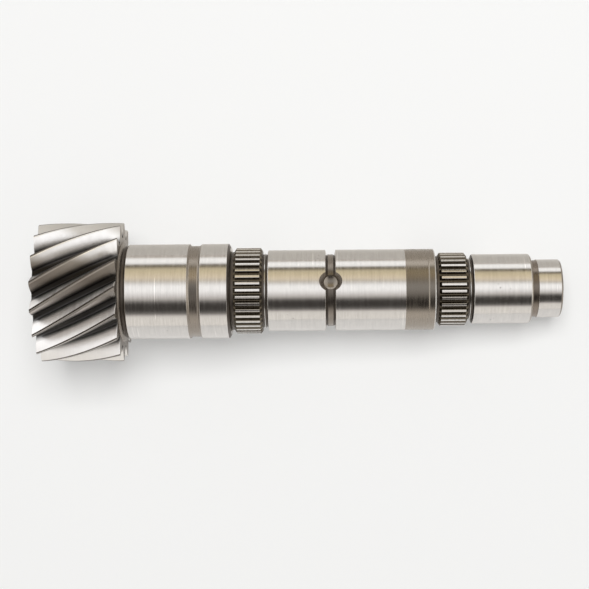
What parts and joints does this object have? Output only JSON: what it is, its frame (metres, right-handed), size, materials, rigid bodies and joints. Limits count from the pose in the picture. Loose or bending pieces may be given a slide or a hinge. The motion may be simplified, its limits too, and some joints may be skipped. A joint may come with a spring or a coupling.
{
  "type": "gearbox output shaft with helical pinion",
  "caption": "Forged steel gearbox output shaft with a helical final-drive pinion, ground journals, spline bands, a washer groove with a ball pocket and a pilot nose.",
  "frame": {"origin": "centre of the pinion's end face, on which the shaft stands", "axes": "+Z along the shaft's axis, from the pinion towards the nose; -Y is the side that the picture looks at"},
  "size_m": [0.06, 0.06, 0.2238],
  "materials": {
    "shaft_steel": "case-hardened steel, journals ground bright, gear flanks ground, undercuts and turned band left satin"
  },
  "bodies": {
    "root": {"output_shaft": "shaft_steel"}
  },
  "joints": []
}
